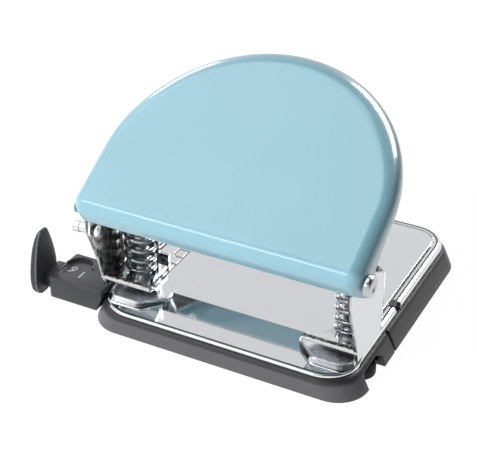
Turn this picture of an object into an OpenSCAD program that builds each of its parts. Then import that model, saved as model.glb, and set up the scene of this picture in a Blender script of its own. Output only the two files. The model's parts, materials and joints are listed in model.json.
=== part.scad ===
// Two-hole desk punch with a domed lever, sprung punches, a drawn steel
// base on a clip-on chip tray, and a sliding paper guide.
// +X to the right, +Y away from the paper side, +Z up.
// Origin: centre of the underside of the tray.

/* [Punching] */
// Distance between the two hole centres
hole_pitch = 80; // [76:1:84]
// Diameter of a punched hole
hole_d = 5.5; // [5:0.1:6]
// Distance from the paper edge to the hole centres
edge_dist = 12; // [11:0.5:13]
// Distance of the punches in front of the tray's centre
punch_set = 29.7; // [28:0.1:31]
// Height of the slot that takes the paper
slot_h = 1.8; // [1.4:0.1:2]
// Radius of the cap on each punch
cap_r = 4.8; // [4.2:0.1:5]

/* [Tray] */
// Distance from a punch to the tray's side
side_margin = 11; // [10.5:0.5:13]
// Depth of the tray, front to back
tray_d = 101; // [98:1:110]
// Height of the tray's wall
tray_h = 7.8; // [7.6:0.1:8.2]
// Corner radius of the tray
tray_r = 11.5; // [9:0.5:12.5]
// Wall thickness of the tray
tray_wall = 2; // [1.6:0.1:2.2]
// Thickness of the tray's floor
tray_floor = 1.6; // [1.2:0.1:2]
// Inward lean of the side walls over their height
tray_batter = 3.4; // [2:0.1:3.6]
// Radius of a rubber foot
foot_r = 6.8; // [5.5:0.1:7]
// Height of a rubber foot
foot_h = 3; // [2.4:0.1:3.2]
// Distance of a foot from the tray's side
foot_in = 4; // [3.8:0.1:5]

/* [Base] */
// Sheet thickness of the base
base_t = 1; // [0.8:0.1:1.2]
// Rise of the platform above the tray's wall
deck_rise = 3.2; // [3:0.1:3.6]
// Drop from the platform to the front apron
apron_drop = 2; // [1.6:0.1:2]
// Corner radius of the base
base_r = 12; // [10:0.5:13]
// Radius of the rolled edge
edge_r = 1.5; // [1:0.1:1.8]
// Depth of the ramp between platform and apron
ramp_d = 8.3; // [6:0.1:9]

/* [Brackets] */
// Sheet thickness of the brackets
br_t = 1.2; // [1:0.1:1.4]
// Distance from a punch to the outer face of its bracket
br_out = 7.8; // [7.6:0.1:8]
// Height of the lever's pivot above the table
pivot_z = 47; // [46:0.5:48]
// Distance of the pivot in front of the punches
arm = 18.6; // [18:0.1:19]
// Radius of the pivot pins
pin_r = 1.3; // [1.1:0.1:1.4]
// Radius of a pivot rivet's outer head
rivet_r = 4; // [3.5:0.1:4.5]
// How far a rivet head stands out
rivet_h = 2.4; // [1.8:0.1:2.8]

/* [Springs] */
// Outer diameter of a spring
spring_od = 11; // [10.4:0.1:11.2]
// Wire diameter
wire_d = 1.5; // [1.2:0.1:1.6]
// Number of turns between the closed ends
spring_turns = 4.4; // [3.5:0.1:4.8]

/* [Lever] */
// Height of the lever's hinge corner above the pivot
shell_up = 4.1; // [3.9:0.1:4.3]
// Distance of the hinge corner in front of the pivot
shell_fwd = 6.9; // [6.7:0.1:7.1]
// Tilt of the lever at rest
tilt = 29.7; // [28:0.1:31]
// Distance from a punch to the lever's side
shell_margin = 11.3; // [11.1:0.1:12]
// Length of the lever's straight sides
shell_straight = 26.4; // [24:0.1:30]
// Sheet thickness of the lever
shell_t = 1.1; // [1:0.1:1.2]
// Bend radius of the lever's edges
shell_re = 4.9; // [4:0.1:5.5]
// Depth of the front flange
flange_front = 9; // [8:0.1:9.5]
// Depth of the side flange
flange_side = 7.2; // [6.5:0.1:8]
// Radius of the ears round the pivot
ear_r = 7.5; // [7:0.1:8]
// Radius of the press bar
bar_r = 5; // [4.6:0.1:5]

/* [Paper guide] */
// Distance of the fin's inner face from the middle of the punch
guide_set = 73.5; // [72:0.5:76]
// Width of the guide's rail
rail_w = 8; // [7:0.1:8]
// Thickness of the guide's rail
rail_t = 1.2; // [1:0.1:1.3]
// Length of the guide's rail
rail_l = 116; // [110:1:118]
// Thickness of the fin
fin_t = 3; // [2.5:0.1:3.5]
// Height of the fin above the table
fin_h = 26.9; // [24:0.1:30]
// Length of the guide's housing
house_l = 18.8; // [16:0.1:19]

/* [Hidden] */
$fn = 96;
eps = 0.02;
px = hole_pitch/2;
py = -punch_set;
run = 0.05;            // running clearance of a pin or punch
seat = 0.3;            // gap of a loose seat
hw = px + side_margin; // half width of the tray
bw = px + side_margin - 4;
by0 = -tray_d/2 + 1;
by1 = tray_d/2 - 1.1;
skirt_z = tray_h + 0.2;
deck_z = tray_h + deck_rise; // top of the platform
hold = [-2.4, 3.2];      // rivets that hold a bracket, beside the punch
apron_z = deck_z - apron_drop;
ramp_y = py - 3.3;
stop_y = py + edge_dist;
plate_z = deck_z + slot_h;
pr = hole_d/2;
bx = px + br_out;      // outer face of a bracket
piv = [py - arm, pivot_z];
plate_t = 1;
die_r = 4.8;
spring_z0 = plate_z + plate_t + seat;
bar_z = pivot_z;
cap_z = bar_z - bar_r - seat;
cap_h = 2.7;
wash_h = 1;
spring_z1 = cap_z - cap_h - wash_h - seat;
sw = px + shell_margin;
so = [piv[0] - shell_fwd, piv[1] + shell_up];
// a point of the side view in the lever's own frame: [along the lever, above its skin]
function to_lever(y, z) = [(y - so[0])*cos(tilt) + (z - so[1])*sin(tilt),
                           (z - so[1])*cos(tilt) - (y - so[0])*sin(tilt)];
pivl = to_lever(piv[0], piv[1]);
barl = to_lever(py, bar_z);
rail_z = tray_h - rail_t - 0.1;
rail_y = py - pr - 0.3 - rail_w/2;
catch_y = -4;
foot_x = hw - foot_r - foot_in;
foot_y = [-33, 36];

// ---------- helpers ----------
// mirrors its children to the left side
module side(s) {
    if (s < 0) mirror([1, 0, 0]) children();
    else children();
}

// rounded rectangle, 2*hx wide, from y0 to y1
module plan(hx, y0, y1, r) {
    translate([-hx, y0 + r]) square([2*hx, y1 - y0 - 2*r]);
    translate([-hx + r, y0]) square([2*hx - 2*r, y1 - y0]);
    for (sx = [-1, 1], y = [y0 + r, y1 - r])
        translate([sx*(hx - r), y]) circle(r = r);
}

// profile of a rim: r wide, from z0 to z1, outer top corner rounded by re
module rim_profile(r, re, z0, z1) {
    translate([0, z0]) square([r - re, z1 - z0]);
    translate([0, z0]) square([r, z1 - re - z0]);
    translate([r - re, z1 - re]) intersection() {
        circle(r = re);
        square(re);
    }
}

// block on that plan with its top edge rounded by re
module pillow(hx, y0, y1, r, re, z0, z1) {
    ym = (y0 + y1)/2;
    hy = (y1 - y0)/2;
    translate([-hx + r, y0 + r, z0]) cube([2*hx - 2*r, 2*hy - 2*r, z1 - z0]);
    for (s = [-1, 1]) {
        side(s) translate([hx - r, y1 - r, 0]) rotate([90, 0, 0]) linear_extrude(2*hy - 2*r)
            rim_profile(r, re, z0, z1);
        translate([-hx + r, ym + s*(hy - r), 0]) rotate([90, 0, 90]) linear_extrude(2*hx - 2*r)
            scale([s, 1]) rim_profile(r, re, z0, z1);
        side(s) translate([hx - r, y1 - r, 0]) rotate_extrude(angle = 90) rim_profile(r, re, z0, z1);
        side(s) translate([hx - r, y0 + r, 0]) rotate([0, 0, -90]) rotate_extrude(angle = 90)
            rim_profile(r, re, z0, z1);
    }
}

// extrudes a side view (drawn as y, z) from x0 to x1
module across(x0, x1) {
    translate([x0, 0, 0]) rotate([90, 0, 90]) linear_extrude(x1 - x0) children();
}

// ---------- tray ----------
module tray_block(inset, z0, z1) {
    h0 = hw - inset;
    foot = 0.8; // upright strip below the lean
    k = tray_batter/(tray_h - foot);
    intersection() {
        translate([0, 0, z0]) linear_extrude(z1 - z0)
            plan(h0, -tray_d/2 + inset, tray_d/2 - inset, tray_r - inset);
        rotate([90, 0, 0]) linear_extrude(tray_d + 4, center = true)
            polygon([[-h0 - k*(foot + 2), -2], [h0 + k*(foot + 2), -2],
                [h0 - k*(tray_h + 2 - foot), tray_h + 2], [-h0 + k*(tray_h + 2 - foot), tray_h + 2]]);
    }
}

module tray_shell() {
    color("#2c2d31") {
        difference() {
            union() {
                difference() {
                    tray_block(0, 0, tray_h);
                    tray_block(tray_wall, tray_floor, tray_h + 1);
                }
                // pockets that hold the feet
                for (s = [-1, 1], y = foot_y)
                    translate([s*foot_x, y, 0.4]) cylinder(r = foot_r + 0.8, h = foot_h + 0.6);
                // floor ribs
                for (x = [-24, 0, 24]) translate([x - 0.5, -14, tray_floor - eps]) cube([1, 44, 1.2]);
            }
            for (s = [-1, 1], y = foot_y)
                translate([s*foot_x, y, -1]) cylinder(r = foot_r, h = foot_h + 1);
            // arches in the side walls over the front feet
            for (s = [-1, 1]) side(s) translate([foot_x + 3, foot_y[0] + 0.6, 0.6])
                rotate([0, 90, 0]) cylinder(r = foot_r - 2, h = 12);
            // parting slot behind each arch
            for (s = [-1, 1]) side(s) translate([hw - 6.5, -16.4, 3]) cube([8, 1.6, tray_h]);
            // passage of the guide's rail
            translate([-hw - 2, rail_y - rail_w/2 - seat, rail_z - 0.2])
                cube([14, rail_w + 2*seat, 4]);
        }
        // catches at the sides
        for (s = [-1, 1]) side(s) {
            translate([hw - 5.6, catch_y - 1.8, tray_h - 3]) cube([2, 3.6, 3 + deck_z - tray_h - 0.6]);
            translate([hw - 7.1, catch_y - 1.8, deck_z - 1.4]) cube([2, 3.6, 1.6]);
        }
    }
}

module rubber_feet() {
    color("#3a3b3d") for (s = [-1, 1], y = foot_y) translate([s*foot_x, y, 0]) {
        cylinder(r = foot_r, h = foot_h);
    }
}

// ---------- paper guide ----------
house_x1 = -hw - 0.3 + tray_batter;
house_x0 = -hw - house_l;
house_y0 = rail_y - 7.8;
house_y1 = rail_y + 10.2;
house_z1 = deck_z - 0.2;
module guide_housing() {
    color("#2c2d31") difference() {
        translate([0, 0, 2]) linear_extrude(house_z1 - 2) difference() {
            translate([house_x0, house_y0]) square([house_x1 - house_x0, house_y1 - house_y0]);
            translate([house_x0, house_y1]) rotate(45) square(3, center = true);
        }
        // fits the leaning tray wall and stays off the base
        tray_block(0, -1, tray_h);
        translate([-bw - 0.3, house_y0 - 1, 0]) cube([20, 40, 20]);
        // passage of the rail
        translate([house_x0 - 1, rail_y - rail_w/2 - seat, rail_z - 0.2])
            cube([40, rail_w + 2*seat, rail_t + 0.5]);
        // sunk window over the rail's mark, under a curved brow
        intersection() {
            translate([house_x0 + 9, rail_y + 0.2, rail_z + 1]) cylinder(r = 5.6, h = 6);
            translate([house_x0 + 3, rail_y - 3.6, 0]) cube([13, 9, 20]);
        }
        translate([house_x0 - 1, house_y0, house_z1]) rotate([0, 90, 0]) rotate(45)
            cube([1, 1, 60], center = true);
        // room for the leaf
        translate([house_x0 + 1.6, rail_y - 7, rail_z + rail_t + 0.2]) cube([12, 3.1, 0.8]);
    }
}

// leaf that drops into the rail's side notches
module guide_detent() {
    color("silver") translate([house_x0 + 2, rail_y - 6.8, rail_z + rail_t + 0.35]) {
        cube([11, 2.7, 0.4]);
    }
}

rail_x0 = -guide_set - 0.5;
module guide_rail() {
    color("#34353a") difference() {
        translate([rail_x0, rail_y - rail_w/2, rail_z]) cube([rail_l, rail_w, rail_t]);
        // notches for the paper sizes
        for (i = [0:4]) translate([house_x0 + 4 + i*17, rail_y - rail_w/2 - 1, rail_z - 1])
            cube([1.6, 1.8, rail_t + 2]);
    }
}

// fin with its root; the root grips the rail's end
module guide_fin() {
    fy = rail_y - 6;
    color("#27282b") difference() {
        union() {
            translate([-guide_set - fin_t, 0, 0]) across(0, fin_t) difference() {
                union() {
                    intersection() {
                        translate([fy + 35, 9]) circle(r = 38.4);
                        translate([fy - 5, 2]) square([14, fin_h - 2]);
                        translate([rail_y - 32.2, 6]) circle(r = 36.2);
                        translate([fy + 4.2, fin_h - 11]) circle(r = 17.6);
                    }
                }
            }
            // root between the fin and the housing
            translate([-guide_set - 1, rail_y - rail_w/2 - 1, 3.8])
                cube([guide_set + house_x0 + 1 - seat, rail_w + 2, 5.4]);
            // rolled front rim
            translate([-guide_set - fin_t, 0, 0]) across(0, 1) intersection() {
                translate([fy + 35, 9]) circle(r = 38.9);
                translate([fy - 5, 3]) square([3.6, fin_h - 8]);
                translate([rail_y - 32.2, 6]) circle(r = 36.2);
            }
        }
        translate([rail_x0, rail_y - rail_w/2, rail_z]) cube([20, rail_w, rail_t]);
    }
}

// ---------- base ----------
// plan of a tongue under a bracket, shrunk by i
module tongue_plan(i) {
    k = 0.41*i;
    for (s = [-1, 1]) scale([s, 1])
        polygon([[px - 14.7 + i, ramp_y + 3], [px - 14.7 + i, py - 6.8 + k],
            [px - 7.1 + k, py - 13.9 + i], [px + 2.5 - k, py - 13.9 + i],
            [px + 5.3 - i, py - 11.1 + k], [px + 5.3 - i, ramp_y + 3]]);
}

// outer form of the drawn base; a larger inset and drop give its inner form
module base_form(i, z0) {
    top = deck_z - i;
    low = apron_z - i;
    yb = ramp_y - ramp_d + 0.1*i;
    // platform, cut down to the ramp between the tongues
    difference() {
        pillow(bw - i, by0 + i, by1 - i, base_r - i, edge_r - i/2, z0, top);
        translate([-bw - 1, by0 - 5, z0 - 1]) cube([2*bw + 2, yb - by0 + 5, 30]);
        difference() {
            across(-bw - 1, bw + 1) polygon([[yb - 1, low], [yb, low], [ramp_y + 0.1*i, top],
                [ramp_y + 0.1*i, top + 5], [yb - 1, top + 5]]);
            translate([0, 0, z0]) linear_extrude(20) tongue_plan(i);
        }
    }
    // apron
    difference() {
        pillow(bw - i, by0 + i, by1 - i, base_r - i, edge_r/2 - i/4, z0, low);
        translate([-bw - 1, yb, z0 - 1]) cube([2*bw + 2, tray_d, 30]);
    }
    // tips of the tongues over the apron
    translate([0, 0, low - 0.4]) linear_extrude(top - low + 0.4) intersection() {
        tongue_plan(i);
        translate([-bw, yb - 10]) square([2*bw, 10]);
    }
}

module base_plate() {
    color("#d5dadd") difference() {
        base_form(0, skirt_z);
        base_form(base_t, skirt_z - 1);
        // pressed groove beside the rolled edge
        intersection() {
            translate([0, 0, deck_z - 0.5]) linear_extrude(2) difference() {
                plan(bw - 3, by0 + 3, by1 - 3, base_r - 3);
                plan(bw - 3.9, by0 + 3.9, by1 - 3.9, base_r - 3.9);
            }
            translate([-bw, ramp_y + 2, 0]) cube([2*bw, tray_d, 30]);
        }
        for (s = [-1, 1]) side(s) {
            // die seat
            translate([px, py, skirt_z - 2]) cylinder(r = die_r, h = 10);
            // gap for the tray's catch
            translate([hw - 7.5, catch_y - 2.2, 0]) cube([10, 4.4, 30]);
            // slot for the bracket's foot
            translate([px - 4.1, stop_y - 0.1, 0]) cube([5.5, br_t + 0.2, 30]);
            // holes for its rivets
            for (x = hold) translate([px + x, stop_y + 4.6, 0]) cylinder(r = 1.5, h = 20);
            // embossed ladder behind the tongue
            translate([px - 7, ramp_y + 1, deck_z - 0.4]) {
                for (x = [0, 4.1]) translate([x, 0, 0]) cube([0.5, 24.7, 1]);
                for (j = [0:5]) translate([0, j*4.84, 0]) cube([4.6, 0.5, 1]);
            }
        }
    }
}

module die(s) {
    color("#b9bec2") side(s) difference() {
        union() {
            translate([px, py, deck_z - base_t - 1.6]) cylinder(r = die_r, h = base_t + 1.6);
            translate([px, py, deck_z - base_t - 1.6]) cylinder(r = die_r + 0.6, h = 1.6);
        }
        translate([px, py, 0]) cylinder(r = pr + run, h = 20);
        // relief below the cutting edge
        translate([px, py, 0]) cylinder(r = pr + 0.6, h = deck_z - 1.4);
    }
}

// ---------- brackets ----------
br_r = 7;
foot_t = 1.2;
// plan of the pressed channel: side wall, bend, back wall
module bracket_plan() {
    y_bend = stop_y + br_t - br_r;
    translate([bx - br_t, piv[0] - 8]) square([br_t, y_bend - piv[0] + 8]);
    translate([px - 4, stop_y]) square([bx - br_r - px + 4, br_t]);
    translate([bx - br_r, y_bend]) intersection() {
        difference() {
            circle(r = br_r);
            circle(r = br_r - br_t);
        }
        square(br_r + 1);
    }
}

// side view of the channel above the paper slot
module bracket_view() {
    polygon([[py - 12.3, plate_z], [py - 14.9, plate_z + 10.1], [py - 21, pivot_z - 8],
        [piv[0] - 2.45, pivot_z - 4.1], [piv[0] - 0.9, pivot_z - 3.3], [piv[0] - 1.6, pivot_z - 1.4],
        [piv[0] - 1, pivot_z + 1.2], [piv[0] + 0.6, pivot_z + 2.2],
        [stop_y - 0.5, plate_z + 20.6], [stop_y + br_t + 1, plate_z + 20.6],
        [stop_y + br_t + 1, plate_z]]);
    translate(piv) circle(r = 2.3);
}

module bracket(s) {
    color("#c9ced2") side(s) difference() {
        union() {
            intersection() {
                linear_extrude(80) bracket_plan();
                across(0, bx) bracket_view();
            }
            // foot through the base and along its underside
            translate([px - 4, stop_y, deck_z - base_t - foot_t]) cube([5.3, br_t, slot_h + base_t + foot_t + eps]);
            translate([px - 5, stop_y, deck_z - base_t - foot_t]) cube([10, 7.6, foot_t]);
            // guide plate, bent up into a lip at the front
            intersection() {
                across(px - 14, bx) union() {
                    polygon([[stop_y - 5, plate_z], [py - 6.1, plate_z], [py - 12.2, plate_z + 3.4],
                        [py - 12.7, plate_z + 4.4], [py - 5.8, plate_z + plate_t],
                        [stop_y - 5, plate_z + plate_t]]);
                    translate([py - 12.4, plate_z + 3.9]) circle(r = 1.1);
                }
                linear_extrude(80) polygon([[px - 6.5, stop_y - 5.4], [px - 6.5, py - 1.3],
                    [px - 11.5, py - 7.3], [px - 11.5, py - 16], [bx, py - 16], [bx, stop_y - 5.4]]);
            }
        }
        translate([px, py, 0]) cylinder(r = pr + run, h = 30);
        translate([bx - 6, piv[0], piv[1]]) rotate([0, 90, 0]) cylinder(r = pin_r, h = 20);
        for (x = hold) translate([px + x, stop_y + 4.6, 0]) cylinder(r = 1.5, h = deck_z - base_t/2);
        if (s < 0) translate([bx - 6, stud[0], stud[1]]) rotate([0, 90, 0]) cylinder(r = 1.4, h = 20);
    }
}

module bracket_rivets() {
    color("#c2c7cb") for (s = [-1, 1], x = hold) side(s) translate([px + x, stop_y + 4.6, 0]) {
        translate([0, 0, deck_z - base_t - foot_t]) cylinder(r = 1.5, h = base_t + foot_t);
        translate([0, 0, deck_z - base_t - foot_t - 0.8]) cylinder(r = 2.5, h = 0.8);
    }
}

// collar that guides the punch inside the spring
module guide_bush(s) {
    color("#b9bec2") side(s) translate([px, py, plate_z + plate_t]) difference() {
        union() {
            cylinder(r = spring_od/2 - wire_d - 0.3, h = 2.6);
            translate([0, 0, 2.6]) cylinder(r1 = spring_od/2 - wire_d - 0.3, r2 = pr + 0.5, h = 0.6);
        }
        translate([0, 0, -1]) cylinder(r = pr + run, h = 10);
    }
}

// ---------- punches ----------
module punch(s) {
    color("#aeb4b8") side(s) translate([px, py, 0]) {
        difference() {
            translate([0, 0, plate_z + 0.4]) cylinder(r = pr, h = cap_z - cap_h - plate_z - 0.4 + 1.4);
            // ground cutting edge
            translate([0, 0, plate_z + 0.1]) rotate([90, 0, 0]) cylinder(r = 1.1, h = 20, center = true);
        }
    }
}

module punch_cap(s) {
    color("#c9ced2") side(s) translate([px, py, cap_z - cap_h]) difference() {
        union() {
            cylinder(r = cap_r, h = cap_h - 0.9);
            translate([0, 0, cap_h - 0.9]) cylinder(r1 = cap_r, r2 = cap_r - 0.9, h = 0.9);
        }
        translate([0, 0, -1]) cylinder(r = pr, h = 2.4);
    }
}

module spring_washer(s) {
    color("#9aa0a4") side(s) translate([px, py, cap_z - cap_h - wash_h]) difference() {
        cylinder(r = spring_od/2 + 0.1, h = wash_h);
        translate([0, 0, -1]) cylinder(r = pr, h = wash_h + 2);
    }
}

// centreline of a spring: closed end turns, open turns between
spr = (spring_od - wire_d)/2;
end_turns = 0.8;
end_pitch = wire_d + 0.5;
c0 = spring_z0 + wire_d/2;
c1 = spring_z1 - wire_d/2;
open_pitch = (c1 - c0 - 2*end_turns*end_pitch)/spring_turns;
all_turns = spring_turns + 2*end_turns;
rings = ceil(all_turns*8);
function coil_z(t) = t < end_turns ? c0 + t*end_pitch
    : t > all_turns - end_turns ? c1 - (all_turns - t)*end_pitch
    : c0 + end_turns*end_pitch + (t - end_turns)*open_pitch;
function coil_p(t) = [spr*cos(360*t), spr*sin(360*t), coil_z(t)];
coil_mid = [for (i = [0:rings]) coil_p(all_turns*i/rings)];
function unit(v) = v/norm(v);
coil = concat([coil_mid[0] - wire_d*unit([0, 1, 0])], coil_mid,
    [coil_mid[rings] + wire_d*unit([-sin(360*all_turns), cos(360*all_turns), 0])]);
function tangent(i) = unit(coil[min(i + 1, len(coil) - 1)] - coil[max(i - 1, 0)]);
function ring(i) = let (t = tangent(i), a = unit(cross([0, 0, 1], t)), b = cross(t, a))
    [for (k = [0:5]) coil[i] + wire_d/2*(cos(60*k)*a + sin(60*k)*b)];
coil_pts = [for (i = [0:len(coil) - 1]) each ring(i)];
coil_faces = let (n = len(coil)) concat(
    [for (k = [1:4]) [0, k + 1, k]],
    [for (k = [1:4]) [6*(n - 1), 6*(n - 1) + k, 6*(n - 1) + k + 1]],
    [for (i = [0:n - 2], k = [0:5]) [6*i + k, 6*i + (k + 1)%6, 6*i + 6 + k]],
    [for (i = [0:n - 2], k = [0:5]) [6*i + (k + 1)%6, 6*i + 6 + (k + 1)%6, 6*i + 6 + k]]);
// least gap between turns, measured on points a quarter step apart
probe = [for (i = [0:rings*4]) coil_p(all_turns*i/(rings*4))];
gap = min([for (i = [0:len(probe) - 1], j = [i + 20:1:len(probe) - 1]) norm(probe[i] - probe[j])]) - wire_d;
echo(spring_self_gap = gap);

module spring(s) {
    color("#d3d7da") side(s) translate([px, py, 0]) polyhedron(coil_pts, coil_faces);
}

// ---------- pivots ----------
gap_x = sw - shell_t - bx; // room between bracket and ear
module pivot_rivet(s) {
    color("#cfd3d6") side(s) translate([0, piv[0], piv[1]]) rotate([0, 90, 0]) {
        translate([0, 0, bx - br_t - 0.9]) cylinder(r = 2.2, h = 0.9);
        translate([0, 0, bx - br_t]) cylinder(r = pin_r, h = gap_x + br_t + shell_t + 0.2);
        translate([0, 0, sw + 0.1]) cylinder(r = rivet_r, h = rivet_h - 0.7);
        translate([0, 0, sw + rivet_h - 0.6]) cylinder(r1 = rivet_r, r2 = rivet_r - 0.7, h = 0.7);
    }
}

module pivot_spacer(s) {
    color("#9aa0a4") side(s) translate([bx, piv[0], piv[1]]) rotate([0, 90, 0]) difference() {
        cylinder(r = 2.2, h = gap_x - 0.1);
        translate([0, 0, -1]) cylinder(r = pin_r, h = 10);
    }
}

// stud under the left ear, where the lever stops
stud = [piv[0] + 1.8, piv[1] - ear_r - 1.9];
module stop_stud() {
    color("#cfd3d6") side(-1) translate([0, stud[0], stud[1]]) rotate([0, 90, 0]) {
        translate([0, 0, bx - br_t - 0.8]) cylinder(r = 2, h = 0.8);
        translate([0, 0, bx - br_t]) cylinder(r = 1.4, h = br_t);
        translate([0, 0, bx]) cylinder(r = 1.7, h = sw - bx + 2.9);
        translate([0, 0, sw + 0.9]) cylinder(r = 2, h = 2.5);
    }
}

// ---------- lever ----------
module in_lever() {
    translate([0, so[0], so[1]]) rotate([tilt, 0, 0]) children();
}

// solid dome: rounded sides and rear, rounded front, shrunk by i
module dome(i) {
    w = sw - i;
    re = shell_re - i;
    d = 40;
    difference() {
        dome_round(w, re, d, i);
        // broken upright corners at the front
        if (i == 0) for (s = [-1, 1]) translate([s*w, 0, -d]) rotate([0, 0, 45])
            translate([-0.9, -0.9, -1]) cube([1.8, 1.8, d + 2]);
    }
}

module dome_round(w, re, d, i) {
    intersection() {
        union() {
            translate([0, shell_straight, 0]) rotate_extrude(angle = 180, $fn = 192) {
                translate([0, -d]) square([w - re, d - i]);
                translate([0, -d]) square([w, d - re - i]);
                translate([w - re, -re - i]) intersection() {
                    circle(r = re);
                    translate([-re, 0]) square(2*re);
                }
            }
            translate([0, shell_straight, 0]) rotate([90, 0, 0]) linear_extrude(shell_straight + 1) {
                translate([-w + re, -d]) square([2*w - 2*re, d - i]);
                translate([-w, -d]) square([2*w, d - re - i]);
                for (s = [-1, 1]) translate([s*(w - re), -re - i]) circle(r = re);
            }
        }
        across(-w, w) {
            translate([i, -d]) square([sw + shell_straight, d - re - i]);
            translate([i + re, -d]) square([sw + shell_straight, d - i]);
            translate([i + re, -re - i]) circle(r = re);
        }
    }
}

// side view of what the shell keeps: flanges, deepened to round ears at the pivot
module shell_view() {
    v1 = shell_straight + sw + 1;
    polygon(concat([[-1, 1], [v1, 1], [v1, -flange_side], [24, -flange_side], [17.5, -8.1],
        [11.4, -9.2]], [for (a = [-36:-8:-124]) pivl + ear_r*[cos(a), sin(a)]],
        [[-1, pivl[1] - 0.84*ear_r]]));
}

module handle_shell() {
    color("#9cc5d3") in_lever() difference() {
        intersection() {
            difference() {
                dome(0);
                dome(shell_t);
            }
            across(-sw - 1, sw + 1) shell_view();
        }
        // the front flange is shallower than the ears
        translate([0, shell_t + 0.2, 0]) rotate([90, 0, 0]) linear_extrude(shell_t + 2)
            polygon([[-sw + 2.9, -flange_front], [sw - 2.9, -flange_front],
                [sw - shell_t - 0.6, -flange_front - 4], [sw - shell_t - 0.1, -30],
                [-sw + shell_t + 0.1, -30], [-sw + shell_t + 0.6, -flange_front - 4]]);
        // pivot holes
        translate([-sw - 5, pivl[0], pivl[1]]) rotate([0, 90, 0]) cylinder(r = pin_r + run, h = 2*sw + 10);
    }
}

hang_x = px - 10;
module press_bar() {
    color("#aab0b4") translate([-px - 4, py, bar_z]) rotate([0, 90, 0]) cylinder(r = bar_r, h = 2*px + 8);
}

module bar_hanger(s) {
    color("#b6bcc0") side(s) in_lever() difference() {
        union() {
            across(hang_x, hang_x + 1.5) {
                polygon([[barl[0] - 9, -shell_t], [barl[0] + 10, -shell_t],
                    [barl[0] + 6.1, barl[1] + 1], [barl[0] - 6.1, barl[1] + 1]]);
                translate(barl) circle(r = bar_r + 1.2);
            }
            translate([hang_x - 5, barl[0] - 9, -shell_t - 1.2]) cube([6.5, 19, 1.2]);
        }
        translate([0, barl[0], barl[1]]) rotate([0, 90, 0]) cylinder(r = bar_r, h = 100);
    }
}

tray_shell();
rubber_feet();
guide_housing();
guide_detent();
guide_rail();
guide_fin();
base_plate();
die(-1);  // die_left
die(1);  // die_right
bracket(-1);  // bracket_left
bracket(1);  // bracket_right
bracket_rivets();
guide_bush(-1);  // guide_bush_left
guide_bush(1);  // guide_bush_right
punch(-1);  // punch_left
punch(1);  // punch_right
punch_cap(-1);  // punch_cap_left
punch_cap(1);  // punch_cap_right
spring_washer(-1);  // spring_washer_left
spring_washer(1);  // spring_washer_right
spring(-1);  // spring_left
spring(1);  // spring_right
pivot_rivet(-1);  // pivot_rivet_left
pivot_rivet(1);  // pivot_rivet_right
pivot_spacer(-1);  // pivot_spacer_left
pivot_spacer(1);  // pivot_spacer_right
stop_stud();
handle_shell();
press_bar();
bar_hanger(-1);  // bar_hanger_left
bar_hanger(1);  // bar_hanger_right
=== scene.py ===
"""Two-hole desk punch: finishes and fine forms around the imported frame."""
import json
import math
import bpy
import bmesh
from mathutils import Matrix, Vector


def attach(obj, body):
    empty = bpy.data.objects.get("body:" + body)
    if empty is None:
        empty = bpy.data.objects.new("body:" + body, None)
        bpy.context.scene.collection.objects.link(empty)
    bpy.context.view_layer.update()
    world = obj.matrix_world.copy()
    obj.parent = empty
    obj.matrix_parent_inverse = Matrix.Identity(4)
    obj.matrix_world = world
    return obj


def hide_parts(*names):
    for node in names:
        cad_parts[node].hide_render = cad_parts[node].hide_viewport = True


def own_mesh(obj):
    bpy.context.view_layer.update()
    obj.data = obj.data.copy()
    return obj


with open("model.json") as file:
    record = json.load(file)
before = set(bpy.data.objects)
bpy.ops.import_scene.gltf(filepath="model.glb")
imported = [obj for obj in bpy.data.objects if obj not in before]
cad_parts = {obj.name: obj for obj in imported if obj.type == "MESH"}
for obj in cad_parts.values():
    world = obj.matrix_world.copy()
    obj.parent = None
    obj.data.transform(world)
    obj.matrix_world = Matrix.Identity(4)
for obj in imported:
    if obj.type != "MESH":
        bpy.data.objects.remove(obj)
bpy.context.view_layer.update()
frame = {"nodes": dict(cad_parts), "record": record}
NODES = frame["nodes"]
MM = 0.001

bl_info = {
    "name": "Desk hole punch",
    "version": (1, 0, 0),
    "blender": (4, 5, 0),
    "location": "View3D > Sidebar > Punch",
    "description": "Builds the finish and fine forms of a two-hole desk punch around its frame",
    "category": "Object",
}


# ---------- sizes and colours ----------
def length(name, description, default):
    """A size in metres for the panel"""
    return bpy.props.FloatProperty(name=name, description=description, default=default,
                                   min=0.0, subtype="DISTANCE", unit="LENGTH")


def colour(name, description, default):
    """A colour for the panel"""
    return bpy.props.FloatVectorProperty(name=name, description=description, default=default,
                                         size=3, min=0.0, max=1.0, subtype="COLOR")


class PunchSizes(bpy.types.PropertyGroup):
    """Sizes of the pieces that are formed here"""
    lever_corner: length("Lever corner", "Plan radius of the lever's front corners", 4.9 * MM)
    lever_lip: length("Lever lip", "Rounding of the lever's cut edge", 0.3 * MM)
    edge_break: length("Edge break", "Radius that the light finds on a moulded or pressed edge", 0.3 * MM)
    wire: length("Spring wire", "Diameter of the spring wire", 1.8 * MM)
    spring_outer: length("Spring diameter", "Outer diameter of a spring", 11.3 * MM)
    tray_round: length("Tray rounding", "Radius of the tray's upper edge", 1.5 * MM)
    floor_size: length("Floor size", "Side of the square floor", 4.0)


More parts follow.
